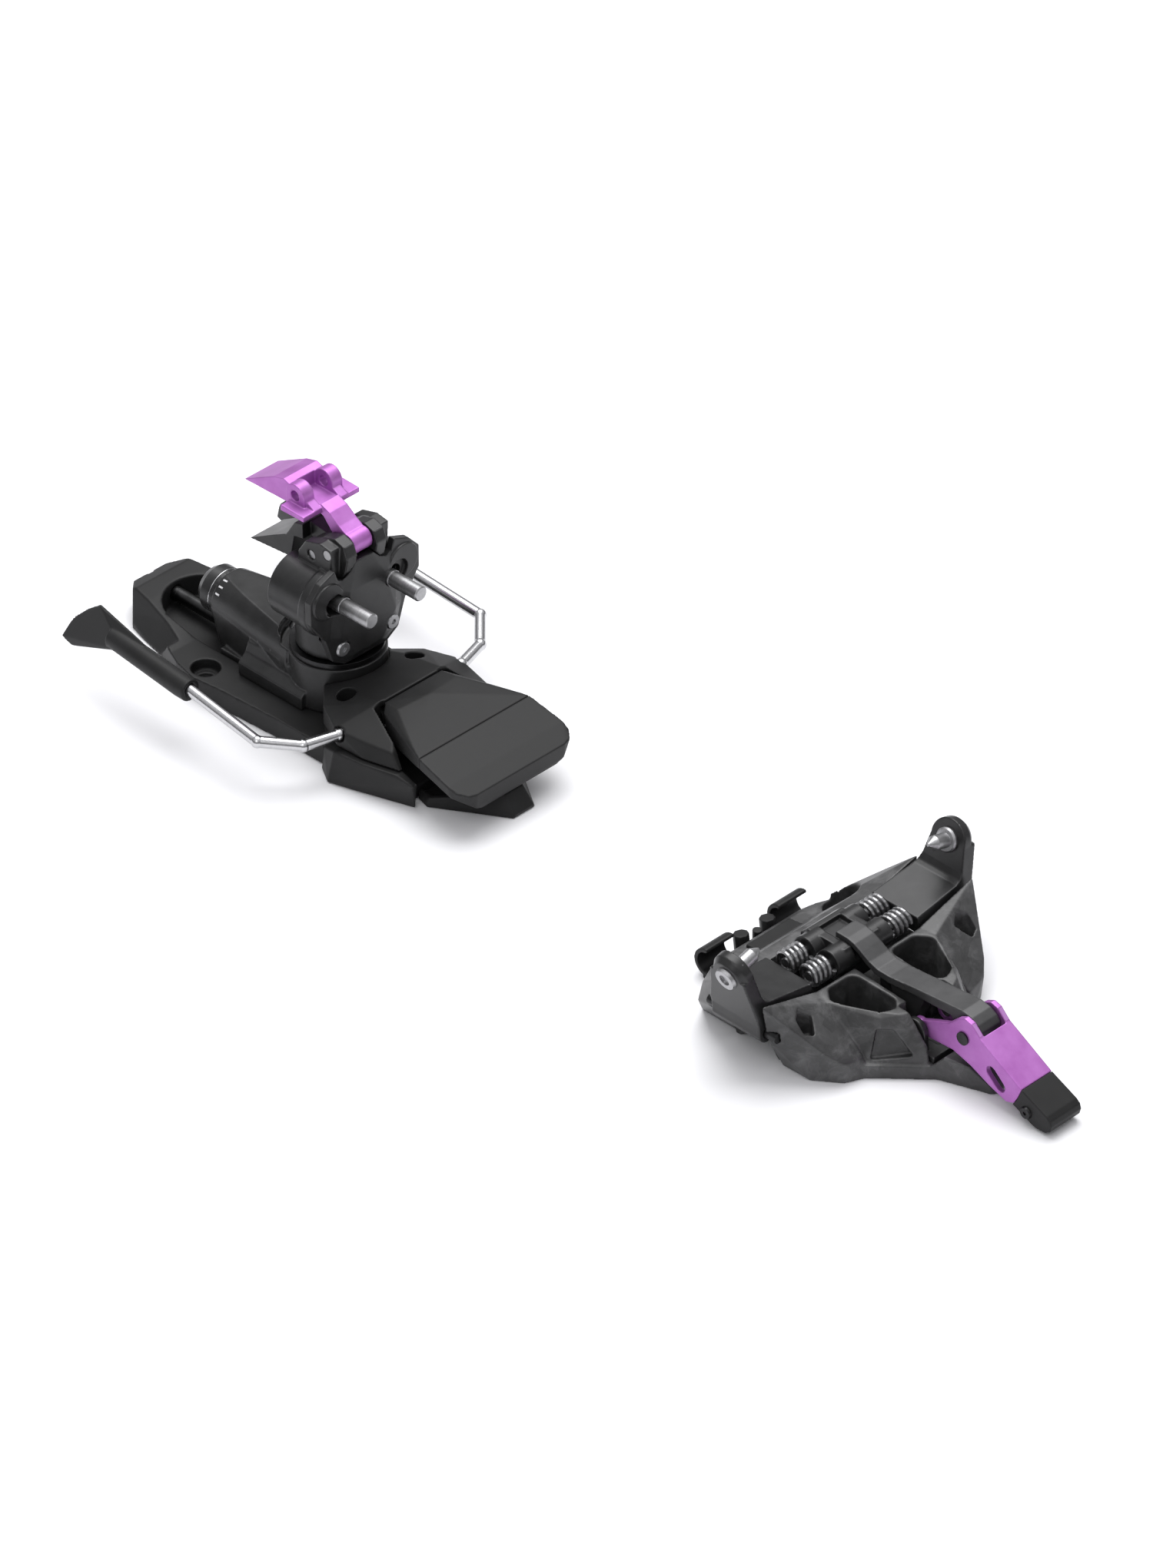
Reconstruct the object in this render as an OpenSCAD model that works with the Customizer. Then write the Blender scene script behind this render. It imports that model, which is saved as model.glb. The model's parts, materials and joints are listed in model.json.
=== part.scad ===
// Pin touring binding. The toe unit grips the boot's toe between two sprung
// wings that a hand lever opens and closes. The heel unit holds the boot's
// heel on two pins in a turning tower, with two risers and a ski brake.
// X points to the ski's tip, Y to the left and Z up. Z = 0 is the ski's top
// face, Y = 0 its centre line and X = 0 the line of the toe pins.

/* [Toe unit] */
// Angle by which the open wings lean outwards
wing_tilt = 15; // [13:0.5:16]
// Distance from the centre line to a wing's axle
wing_axle_y = 44; // [43.5:0.5:44.5]
// Height of a wing's axle over the ski
wing_axle_z = 16; // [15.5:0.5:16.5]
// Diameter of a toe pin's shank
toe_pin_d = 5; // [4.6:0.1:5.4]
// Length of a toe pin that stands out of its wing
toe_pin_reach = 9.6; // [8.5:0.1:10.5]
// Wire diameter of the toe springs
toe_wire_d = 1.6; // [1.2:0.1:1.6]
// Half width of the rocker bar
bar_half = 4.5; // [4:0.1:4.6]
// Half width of the lever
lever_half = 7; // [6.8:0.1:7.2]

/* [Heel unit] */
// Distance from the toe pins back to the tower's axis
tower_x = 228; // [227.5:0.5:228.5]
// Height of the heel pins over the ski
heel_pin_z = 52.4; // [51:0.2:54]
// Half of the distance between the heel pins
heel_pin_y = 11.1; // [10.5:0.1:11.5]
// Diameter of a heel pin
heel_pin_d = 5.4; // [5:0.1:5.8]
// Length of a heel pin in front of the tower
heel_pin_reach = 13.3; // [12:0.1:14]
// Height of the release barrel's axis
barrel_z = 19.5; // [19:0.5:20]
// Length of a heel pin's slim end
heel_pin_free = 12.9; // [11:0.1:12.9]
// Distance by which a heel pin can give way outwards
pin_spread = 2.5; // [2:0.1:3]
// Radius of the release knob
knob_r = 8.4; // [7.5:0.1:8.8]
// Radius of the turret post that the tower turns on
post_r = 8; // [7:0.5:8.5]

/* [Brake] */
// Distance from the toe pins back to the brake's axle
brake_x = 198.7; // [198:0.1:199.4]
// Height of the brake's axle
brake_z = 16.7; // [16.4:0.1:17]
// Diameter of the brake wire
wire_d = 4; // [3.5:0.1:4.2]
// Distance from the centre line to the outer run of the brake wire
wire_half = 50.8; // [48:0.2:52]

/* [Screws] */
// Diameter of the holes for the mounting screws
screw_hole_d = 5.5; // [5:0.1:6]
// Diameter of the mounting screws' heads
screw_head_d = 10; // [9:0.1:10.4]
// Half spacing of the rear toe screws
toe_rear_half = 25.5; // [25:0.5:26]
// Half spacing of the front toe screws
toe_front_half = 15; // [14.5:0.5:15.5]
// Half spacing of the rear heel screws
heel_rear_half = 23.5; // [23:0.5:24]
// Half spacing of the front heel screws
heel_front_half = 15.5; // [15:0.5:16]

/* [Hidden] */
$fn = 48;
running = 0.05;     // radial clearance of a turning pin in its bore
gap = 0.3;          // clearance between pieces that move past each other
over = 1;           // how far a cutting solid runs past a face

carbon = [0.29, 0.29, 0.30];
black = [0.16, 0.16, 0.17];
bar_grey = [0.40, 0.40, 0.41];
violet = [0.66, 0.34, 0.74];
steel = [0.72, 0.71, 0.69];
chrome = [0.85, 0.86, 0.87];

channel_floor = 6;              // height of the base's floor under the wings
spring_x = [-4.7, 5.3];         // the two springs of one side
spring_z = 23;
spring_from = 12.4;             // a spring's inner end, from the centre line
spring_to = 22.4;               // a spring's outer end, from the centre line
rocker = [29, 7.1];             // X and Z of the bar's fulcrum
link = [58, 19.3];              // X and Z of the pin that joins bar and lever
lever_pivot = [39.6, 13.5];     // X and Z of the lever's pivot
tip_pin = [85, 4.9];            // X and Z of the lever tip's screws
toe_rear_x = -24.5;
toe_front_x = 22;
heel_rear_x = -266.5;
heel_front_x = -207.8;
tower_face = -213;              // front face of the tower's plate
upper_hinge = [-218.6, 70];     // X and Z of the upper riser's axle
lower_hinge = [-226, 66.8];     // X and Z of the lower riser's axle
seam_x = -164.3;                // joint between brake pedal and brake pad
barrel_rear = -278.4;           // rear end of the release barrel
cup_r = 16.6;                   // radius of the cup under the turret ring
hub_r = 5.2;                    // radius of the pedal's hub
// corners of the left brake wire, from the middle of its axle
wire_route = [
    [0, 0.6, 0], [0, 28, 0], [-3.7, 40.3, 0], [-14.2, wire_half, 1.6],
    [-50.4, wire_half - 1.6, 5.2]
];

// ---------- shared shapes ----------

module both_sides() {
    children();
    mirror([0, 1, 0]) children();
}

// An outline in X and Z, drawn across the ski from y0 to y1
module across(pts, y0, y1) {
    translate([0, y1, 0]) rotate([90, 0, 0]) linear_extrude(y1 - y0) polygon(pts);
}

// An outline in Y and Z, drawn along the ski from x0 to x1
module along(pts, x0, x1) {
    translate([x0, 0, 0]) rotate([90, 0, 90]) linear_extrude(x1 - x0) polygon(pts);
}

module rod_x(r, x0, x1, y, z) {
    translate([x0, y, z]) rotate([0, 90, 0]) cylinder(r = r, h = x1 - x0);
}

module rod_y(r, y0, y1, x, z) {
    translate([x, y1, z]) rotate([90, 0, 0]) cylinder(r = r, h = y1 - y0);
}

module rod_z(r, z0, z1, x, y) {
    translate([x, y, z0]) cylinder(r = r, h = z1 - z0);
}

module box(x, y, z) {
    translate([x[0], y[0], z[0]]) cube([x[1] - x[0], y[1] - y[0], z[1] - z[0]]);
}

// The convex block that has the given corners
module facets(pts) {
    hull() polyhedron(points = pts, faces = [[for (i = [0:len(pts) - 1]) i]]);
}

// Arc of the given radius in place of the corner b between a and c
function fillet(a, b, c, r, n = 4) =
    let (u = (a - b) / norm(a - b), v = (c - b) / norm(c - b), h = acos(u * v) / 2,
        m = b + (u + v) / norm(u + v) * r / sin(h), s = b + u * r / tan(h) - m,
        e = b + v * r / tan(h) - m)
    [for (i = [0:n]) let (w = s * (n - i) + e * i) m + r * w / norm(w)];

// Outline with all its corners rounded
function rounded(points, r) =
    let (n = len(points))
    [for (i = [0:n - 1]) each fillet(points[(i + n - 1) % n], points[i], points[(i + 1) % n], r)];

// A coil spring along Z with its lower end at the origin
module coil(r, wire_r, length, turns, sides = 6, steps = 14) {
    n = turns * steps;
    rise = length - 2 * wire_r;
    ring = [for (i = [0:n]) for (k = [0:sides - 1])
        let (a = 360 * i / steps, b = 360 * k / sides, q = r + wire_r * cos(b))
        [q * cos(a), q * sin(a), wire_r + rise * i / n + wire_r * sin(b)]];
    skin = [for (i = [0:n - 1]) for (k = [0:sides - 1])
        let (m = (k + 1) % sides)
        [i * sides + k, (i + 1) * sides + k, (i + 1) * sides + m, i * sides + m]];
    start = [for (k = [0:sides - 1]) k];
    end = [for (k = [0:sides - 1]) n * sides + sides - 1 - k];
    polyhedron(points = ring, faces = concat(skin, [start, end]), convexity = 8);
}

// A screw head with a socket, its shank along -Z from the origin
module screw(head_r, head_h, shank_r, shank_l, socket_r) {
    difference() {
        union() {
            cylinder(r1 = head_r, r2 = head_r * 0.86, h = head_h);
            translate([0, 0, -shank_l]) cylinder(r = shank_r, h = shank_l + head_h / 2);
        }
        translate([0, 0, head_h * 0.35]) cylinder(r = socket_r, h = head_h, $fn = 6);
    }
}

// ---------- toe unit ----------

// Outer front corner of the base, left side, rising to the wing
module base_shoulder() {
    facets([
        [10.6, 48.2, 28.2], [10.6, 45.6, 14.7], [10.6, 38, 0], [22.2, 37.7, 0],
        [30.8, 31.3, 0], [33.5, 25, 0], [10.6, 24, 0], [10.6, 24, 21.4], [16.6, 25.1, 20.8],
        [27.4, 36.2, 11.8], [31.1, 32.2, 8.1], [32.5, 24, 7]
    ]);
}

// Middle of the base in front of the wings, left side, round the screw pocket
module base_front() {
    facets([
        [10.6, 5.8, 21], [10.6, 25, 21.2], [16.6, 25.1, 20.8], [32.4, 18, 19.2],
        [36.5, 13.5, 20.4], [38, 9.6, 20], [36.5, 5.8, 19.5], [46, 10.6, 11], [46, 5.8, 10],
        [10.6, 25, 0], [33.5, 25, 0], [39.4, 19.4, 0], [48, 10.8, 0], [48, 5.8, 0], [10.6, 5.8, 0]
    ]);
}

// Outer rear corner of the base, left side, behind the wing
module base_rear_block() {
    facets([
        [-11.6, 46.7, 26], [-11.6, 46.2, 15], [-11.6, 34.9, 0], [-27.5, 34.9, 0],
        [-20.5, 42, 18.6], [-23.5, 41, 9], [-31, 27, 11], [-32, 27, 0], [-11.6, 24, 0],
        [-11.6, 24, 20.5], [-21, 24, 18]
    ]);
}

// Rear deck with the plate recess and the tongue under the lever
module base_middle() {
    deck = [
        [-35, 0], [-35, 7.8], [-33, 8.8], [-27.6, 9.4], [-17.5, 19.5], [-11.6, 20.5], [-11.6, 6],
        [10.7, 6], [10.7, 5], [48, 5], [52, 9.6], [60, 8.2], [66, 3.6], [68.3, 1.2], [68.3, 0]
    ];
    plan = [
        [-35, 12], [-35, 17], [-31, 27], [-11.6, 27], [-11.6, 36], [10.7, 37], [33.5, 25],
        [39.4, 19.4], [50, 9.6], [63, 4.8], [67, 3.4], [68.3, 1.5]
    ];
    mirrored = [for (i = [len(plan) - 1:-1:0]) [plan[i][0], -plan[i][1]]];
    intersection() {
        across(deck, -40, 40);
        linear_extrude(30) polygon(concat(plan, mirrored));
    }
}

module toe_base() color(carbon) {
    pocket = rounded([[12.2, 8.4], [12.2, 19.5], [17, 23.6], [31.5, 16.4], [33.8, 11.6],
        [30, 7.8]], 2.7);
    corner_pocket = [[14.6, 36.1], [17.3, 32.6], [22, 35.9], [20.7, 39.2], [16.9, 39.2]];
    difference() {
        union() {
            base_middle();
            both_sides() {
                base_shoulder();
                base_front();
                base_rear_block();
            }
        }
        // slot for the rocker bar, wider round the lever's bracket
        box([10, 52], [-5.4, 5.4], [5, 40]);
        box([33, 48.6], [-9.7, 9.7], [5, 40]);
        both_sides() {
            translate([0, 0, channel_floor - 1]) linear_extrude(30) polygon(pocket);
            translate([0, 0, 13]) linear_extrude(20) polygon(corner_pocket);
            rod_z(6, 5, 30, toe_rear_x, toe_rear_half);
            rod_z(screw_hole_d / 2, -over, 30, toe_rear_x, toe_rear_half);
            rod_z(screw_hole_d / 2, -over, 30, toe_front_x, toe_front_half);
            rod_x(2 + running, -15.2, 14.7, wing_axle_y, wing_axle_z);
            // four-sided recess in the sloping side
            translate([36, 17.7, 11]) rotate([0, 73, 45.6]) translate([0, 0, -1.5])
                linear_extrude(8) polygon([[-4.8, 3.5], [-4.8, -1.9], [3.7, -8.3], [5.3, 5.3]]);
            // arch in the lower edge under the wing
            across([[-11, -over], [-4, 4.4], [3, 4.4], [8.6, -over]], 31, 45);
        }
        rod_y(1.6, -12, 12, rocker[0], rocker[1]);
        rod_y(4, -3, 3, rocker[0], rocker[1]);
        // seat of the blank plate, and the receiver's seat under the deck
        translate([-29.4, 0, 9.4]) rotate([0, -7, 0]) cube([6.2, 20.4, 2], center = true);
        box([-36, -29.6], [-23.4, 23.4], [-over, 2.8]);
    }
}

module toe_label_plate() color(black)
    translate([-29.4, 0, 9.2]) rotate([0, -7, 0]) cube([6, 20, 1.6], center = true);

// Two C-shaped hooks, two posts and a knob on one plate
module crampon_receiver() color(black) {
    hook_centre = [-37.6, 6.2];
    hook_r = 5.2;
    hook_t = 1.4;
    box([-38.6, -29.8], [-23, 23], [0.2, 2.7]);
    both_sides() {
        difference() {
            rod_y(hook_r, 10.3, 22.8, hook_centre[0], hook_centre[1]);
            rod_y(hook_r - hook_t, 9, 24, hook_centre[0], hook_centre[1]);
            box([hook_centre[0], -30], [9, 24], [0, 20]);
        }
        translate([hook_centre[0], 0, hook_centre[1]]) rotate([0, -16, 0])
            box([0.9, 1.6], [10.3, 22.8], [hook_r - hook_t + 0.2, hook_r - 0.4]);
        translate([-37.4, 6, 0.7]) rotate([0, -8, 0]) cylinder(r = 2.7, h = 8.1, $fn = 8);
    }
    translate([-37, 0, 0.2]) cylinder(r = 1.6, h = 7.6);
}

module wing_axle() color(steel) rod_x(2, -15, 14.5, wing_axle_y, wing_axle_z);

// J-shaped wing of the left side in its open position
module wing() {
    u = [sin(wing_tilt), cos(wing_tilt)];       // up along the upright
    v = [cos(wing_tilt), -sin(wing_tilt)];      // outwards through it
    bend = [45, 27.3];
    thick = 5;
    section = concat([
        bend + 19 * u, bend + 19 * u + thick * v, bend + thick * v - 6.6 * u],
        [for (a = [10:-20:-190]) [wing_axle_y + 3.9 * cos(a), wing_axle_z + 3.9 * sin(a)]],
        [[38.6, 20.6], [31, 19.9], [28, 17.6], [24.3, 17.6], [24, 23.9], [42.6, 26.6],
         [44.3, 27.4], bend + 2.2 * u]);
    outline = [[-7.2, 37], [-8.6, 30], [-10.8, 22], [-10.8, 6], [9.8, 6], [9.8, 22],
        [8.6, 29], [7.2, 37]];
    difference() {
        intersection() {
            along(section, -10.8, 9.8);
            union() {
                across(outline, 20, 60);
                toe_pin_frame() translate([0, 0, -5]) {
                    translate([0, 0, -1]) cylinder(r = 5.8, h = 2);
                    cylinder(r1 = 5.8, r2 = 7.2, h = 2);
                    translate([0, 0, 1.99]) cylinder(r = 7.2, h = 8);
                }
            }
        }
        rod_x(2 + running, -12, 12, wing_axle_y, wing_axle_z);
        toe_pin_frame() translate([0, 0, -thick - over]) cylinder(r = toe_pin_d / 2 + 0.02, h = 9);
    }
}

// Axes of the left toe pin: Z along the pin, from the wing's inner face
module toe_pin_frame() {
    translate([0, 47.7, 37.5]) rotate([90 - wing_tilt, 0, 0]) children();
}

module toe_pin() color(steel) toe_pin_frame() {
    r = toe_pin_d / 2;
    rotate_extrude() polygon([
        [0, -4.9], [r, -4.9], [r, 0.02], [4.2, 0.02], [4.2, 0.8], [3.7, 1.4], [r, 1.6],
        [r, toe_pin_reach - 3], [0.5, toe_pin_reach], [0, toe_pin_reach]
    ]);
}

module pin_screw() color(steel) toe_pin_frame()
    translate([0, 0, -5.06]) rotate([180, 0, 0]) difference() {
        cylinder(r1 = 4.1, r2 = 3.7, h = 1.2);
        translate([0, 0, 0.4]) cylinder(r = 2, h = 2);
    }

module left_wing() color(black) wing();
module right_wing() color(black) mirror([0, 1, 0]) wing();
module left_toe_pin() toe_pin();
module right_toe_pin() mirror([0, 1, 0]) toe_pin();
module left_pin_screw() pin_screw();
module right_pin_screw() mirror([0, 1, 0]) pin_screw();
module left_wing_axle() wing_axle();
module right_wing_axle() mirror([0, 1, 0]) wing_axle();

// Block between the springs, with a slot in its top for the bar's tail
module spring_carrier() color(black) difference() {
    union() {
        across([[-10.8, 15], [-10.8, 25], [-8, 27.6], [8, 27.6], [9.6, 25], [9.6, 15]], -8, 8);
        for (x = spring_x) rod_y(4.9, -spring_from, spring_from, x, spring_z);
        box([-9, 8.6], [-9.6, 9.6], [15, 24]);
    }
    across([[-6, 25.9], [4, 25.9], [12, 22], [12, 40], [-6, 40]], -bar_half - gap, bar_half + gap);
    for (x = spring_x) rod_y(1.6, -14, 14, x, spring_z);
}

module spring_rods() color(steel) both_sides()
    for (x = spring_x) rod_y(1.58, 9.6, spring_to - 1, x, spring_z);

module toe_springs() color(steel) for (x = spring_x)
    translate([x, spring_from, spring_z]) rotate([-90, 0, 0])
        coil(3.6, toe_wire_d / 2, spring_to - spring_from, 4, 8, 16);

module left_toe_springs() toe_springs();
module right_toe_springs() mirror([0, 1, 0]) toe_springs();

module rocker_bar() color(bar_grey) {
    strap = [
        [1, 29.4], [6, 29.3], [9, 28.6], [12, 27.1], [15.5, 25.1], [19, 23.9], [24, 23.8],
        [35, 25], [55, 26.8], [59, 26.2], [61.8, 24.6], [63.2, 22.4], [63.2, 19], [61, 16.8],
        [54.4, 17.4], [50, 22.6], [35, 22.2], [24, 21.2], [18.5, 21.4], [14, 23.4],
        [10.5, 25.7], [8, 26.8], [1, 27.2]
    ];
    web = [[22, 22], [25.6, 6.6], [29, 3.6], [32.4, 6.6], [38, 23]];
    difference() {
        union() {
            intersection() {
                across(strap, -bar_half, bar_half);
                box([0, 70], [-bar_half, bar_half], [0, 40]);
            }
            across(web, -2.4, 2.4);
            rod_y(3.4, -2.4, 2.4, rocker[0], rocker[1]);
            rod_y(4, -bar_half, bar_half, link[0], link[1]);
        }
        rod_y(1.6 + running, -12, 12, rocker[0], rocker[1]);
        rod_y(1.9 + 0.7, -12, 12, link[0], link[1]);
        box([30, 80], [-bar_half - 1, -bar_half + 0.1], [0, 40]);
        box([30, 80], [bar_half - 0.1, bar_half + 1], [0, 40]);
    }
}

module rocker_axle() color(steel) rod_y(1.6, -10, 10, rocker[0], rocker[1]);

// Black ears on both sides of the lever's arms
module lever_bracket() color(black) difference() {
    union() {
        box([33.4, 48.2], [-9.4, 9.4], [5.02, 7.4]);
        both_sides() {
            rod_y(4.4, lever_half + gap, 9.4, lever_pivot[0], lever_pivot[1]);
            box([35.2, 44], [lever_half + gap, 9.4], [6, lever_pivot[1]]);
        }
    }
    box([20, 44], [-2.8, 2.8], [0, 9]);
    rod_y(1.8, -12, 12, lever_pivot[0], lever_pivot[1]);
}

module lever_axle() color(steel)
    both_sides() rod_y(1.8, lever_half - 2, 9.2, lever_pivot[0], lever_pivot[1]);

module lever_outline() {
    polygon([
        [38.2, 15.8], [46, 19.4], [51.4, 21.6], [55.6, 25.6], [58.4, 27], [61.2, 26.2],
        [64.8, 22.6], [82.7, 12.4], [81.2, 8.6], [79.6, 5.6], [76.4, 4.4], [68.9, 7],
        [61.3, 10.3], [53.8, 12.4], [46, 12], [41.2, 11.8]
    ]);
}

module toe_lever() color(violet) difference() {
    union() {
        translate([0, lever_half, 0]) rotate([90, 0, 0])
            linear_extrude(2 * lever_half) lever_outline();
        rod_y(3.5, -lever_half, lever_half, lever_pivot[0], lever_pivot[1]);
    }
    // inside between the two arms, below the top plate
    across([[30, 0], [30, 40], [64.8, 40], [64.8, 19.9], [81.6, 10.4], [86, 0]], -5, 5);
    // elongated hole through both arms
    rod_y(2, -20, 20, 69.9, 12.4);
    rod_y(2, -20, 20, 73.8, 8.9);
    translate([71.85, 0, 10.65]) rotate([0, 41.9, 0]) cube([5.24, 40, 4.1], center = true);
    rod_y(1.8 + running, -20, 20, lever_pivot[0], lever_pivot[1]);
    rod_y(1.9, -20, 20, link[0], link[1]);
}

module lever_link_pin() color(black) {
    rod_y(1.88, -lever_half, lever_half, link[0], link[1]);
    both_sides() rod_y(2.3, lever_half, lever_half + 0.6, link[0], link[1]);
}

module lever_tip() color(black) difference() {
    union() {
        difference() {
            across([[82.8, 12.4], [93.4, 7.6], [94.9, 6.4], [95.4, 4.6], [94.8, 2.4], [93, 1.1],
                [89, 0.9], [87, 1.5], [79, 5], [79.7, 5.6], [81.3, 8.6]],
                -lever_half, lever_half);
            translate([88.6, 0, 41.4]) rotate([0, 24, 0]) rotate_extrude() polygon([
                [0, -33], [4.6, -33], [5.2, -32], [5.2, -20], [0, -20]]);
        }
        across([[72, 9], [80, 5.2], [84, 5.2], [82, 9.6], [76, 13]], -4.9, 4.9);
    }
    both_sides() rod_y(1.2, lever_half - 3, lever_half + 1, tip_pin[0], tip_pin[1]);
}

module tip_screws() color(black) both_sides()
    translate([tip_pin[0], lever_half, tip_pin[1]]) rotate([-90, 0, 0])
        screw(2.2, 0.8, 1.18, 2.8, 0.7);

// ---------- heel unit ----------

module heel_base() color(black) {
    plan = [
        [-318.6, 7.4], [-308.5, 17.6], [-300, 20], [-289, 22.4], [-276, 28], [-266, 30.4],
        [-254, 29], [-228, 27.4], [-206, 27.2], [-190, 24], [-172, 19]
    ];
    mirrored = [for (i = [len(plan) - 1:-1:0]) [plan[i][0], -plan[i][1]]];
    side = [
        [-318.6, 0], [-318.6, 9.3], [-312, 12], [-304, 11.6], [-292, 10], [-281, 7.6], [-258, 7.6],
        [-206, 7.6], [-172, 5], [-172, 0]
    ];
    difference() {
        intersection() {
            across(side, -40, 40);
            linear_extrude(30) polygon(concat(plan, mirrored));
        }
        // sliding channel, open to the front and round behind the knob
        box([-296, -212], [-14, 14], [3, 40]);
        rod_z(14, 3, 40, -292, 0);
        both_sides() {
            rod_z(screw_head_d / 2, 3.5, 30, heel_rear_x, heel_rear_half);
            rod_z(screw_hole_d / 2, -over, 30, heel_rear_x, heel_rear_half);
            rod_z(screw_head_d / 2, 4, 30, heel_front_x, heel_front_half);
            rod_z(screw_hole_d / 2, -over, 30, heel_front_x, heel_front_half);
            // sloping flank of the tail
            facets([[-326, 15, 0.5], [-326, 40, 0.5], [-290, 22.2, 0.5], [-290, 40, 0.5],
                [-326, 9.5, 13], [-326, 40, 13], [-280, 17.5, 13], [-280, 40, 13]]);
        }
        rod_x(2.5 + running, -320, -300, 0, 7);
    }
}

module adjust_screw() color(steel) difference() {
    union() {
        rod_x(2.45, -304, -240, 0, 7);
        rod_x(2.5, -312, -304, 0, 7);
    }
    rod_x(1.2, -313, -309, 0, 7, $fn = 6);
}

// Sled in the channel, shoulders over the deck and seat of the turret ring
module heel_carriage() color(black) difference() {
    union() {
        // tail in the channel and shoulders over the deck
        along([[13.7, 3.3], [13.7, 9], [-13.7, 9], [-13.7, 3.3]], -270, -213);
        along([[13.7, 3.3], [13.7, 7.9], [18.6, 7.9], [18.6, 12.6], [15.4, 15.4], [14, 19],
            [-14, 19], [-15.4, 15.4], [-18.6, 12.6], [-18.6, 7.9], [-13.7, 7.9], [-13.7, 3.3]],
            -256, -226);
        rod_z(cup_r, 7.9, 25, -tower_x, 0);
        // barrel with a flat top, and the walls under it
        intersection() {
            translate([barrel_rear, 0, barrel_z]) rotate([0, 90, 0])
                cylinder(r1 = 9.8, r2 = 15.6, h = 42);
            box([-290, -230], [-20, 20], [0, 29]);
        }
        intersection() {
            translate([0, 0, 7.9]) linear_extrude(barrel_z - 7.9) polygon([
                [-279, 9.8], [-240, 15.2], [-232, 15.2], [-232, -15.2], [-240, -15.2],
                [-279, -9.8]]);
            across([[barrel_rear, 20], [-272, 3.3], [-232, 3.3], [-232, 20]], -20, 20);
        }
    }
    rod_x(7.2, -277, -239, 0, barrel_z);
    rod_x(3.4 + running, -290, -270, 0, barrel_z);
    rod_x(2.5 + running, -290, -226, 0, 7);
    rod_x(4.6, -260, -230, 0, barrel_z);
    // bore of the turret post, and the clearance of the turning tower
    rod_z(post_r + running, 10, 40, -tower_x, 0);
    rod_z(19.4, 27, 60, -tower_x, 0);
    rod_z(cup_r + 2, 25, 60, -tower_x, 0);
}

module turret_ring() color(steel) difference() {
    rod_z(15.8, 25, 27, -tower_x, 0);
    rod_z(post_r + running, 20, 30, -tower_x, 0);
}

module release_knob() color(black) translate([0, 0, barrel_z]) rotate([0, -90, 0]) {
    rotate_extrude() polygon([
        [0, 268], [3.4, 268], [3.4, 278.8], [knob_r, 278.8], [knob_r, 281],
        [knob_r - 0.3, 281.3], [knob_r, 281.6], [knob_r, 285], [knob_r - 1.6, 287.4],
        [4.4, 288.4], [4, 287.6], [0, 287.6]
    ]);
}

module release_spring() color(steel) translate([-272.6, 0, barrel_z]) rotate([0, 90, 0])
    coil(5.2, 1.1, 24.4, 6);

module spring_nut() color(steel) difference() {
    rod_x(7.18, -276, -272.8, 0, barrel_z);
    rod_x(3.4 + running, -278, -270, 0, barrel_z);
}

module plunger() color(steel) {
    rod_x(6.6, -248, -245, 0, barrel_z);
    rod_x(4.4, -245, -tower_x - post_r - 0.4, 0, barrel_z);
}

module turret_post() color(steel) difference() {
    rod_z(post_r, 11, 40, -tower_x, 0);
    box([-240, -tower_x - post_r + 0.4], [-20, 20], [12, 26]);
}

// Housings of the two heel pins, joined over the turret post
module tower_body() color(black) difference() {
    union() {
        rod_z(13.8, 27.3, 44, -tower_x, 0);
        both_sides() {
            rod_x(11.7, -236.4, -217.1, 11.4, 51.2);
            rod_x(12.3, -221.6, -218.6, 11.4, 51.2);
            // fork that holds the risers' axles
            across([[-233, 58], [-233, 65], [-229, 70], [-224, 72.8], [-219, 74.4],
                [-214.8, 73], [-213.2, 69], [-214.4, 63], [-217.1, 58]], 4.4, 9);
            across([[-232, 58], [-232, 66], [-228.6, 71.2], [-221.8, 73.2], [-216.6, 72.4],
                [-217.1, 58]], 8.9, 13);
        }
        box([-234, -217.1], [-11, 11], [40, 61]);
    }
    rod_z(post_r + 0.02, 20, 40.2, -tower_x, 0);
    both_sides() {
        pin_slot(-233, -210);
        rod_x(1.5, -224, -210, 11.2, 35);
    }
    // seat of the front plate
    along([[-30, 20], [30, 20], [30, 66.8], [12.8, 66.8], [11.7, 62.3], [8.6, 60.2], [4.3, 65.8],
        [-4.3, 65.8], [-8.6, 60.2], [-11.7, 62.3], [-12.8, 66.8], [-30, 66.8]], -217.06, -200);
    rod_y(3.2, -7.8, 7.8, -230, heel_pin_z);
    rod_y(1.75, -20, 20, upper_hinge[0], upper_hinge[1]);
    rod_y(1.75, -20, 20, lower_hinge[0], lower_hinge[1]);
    // room for the risers' eyes between the ears
    box([-240, -212], [-4.4, 4.4], [61.4, 80]);
}

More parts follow.
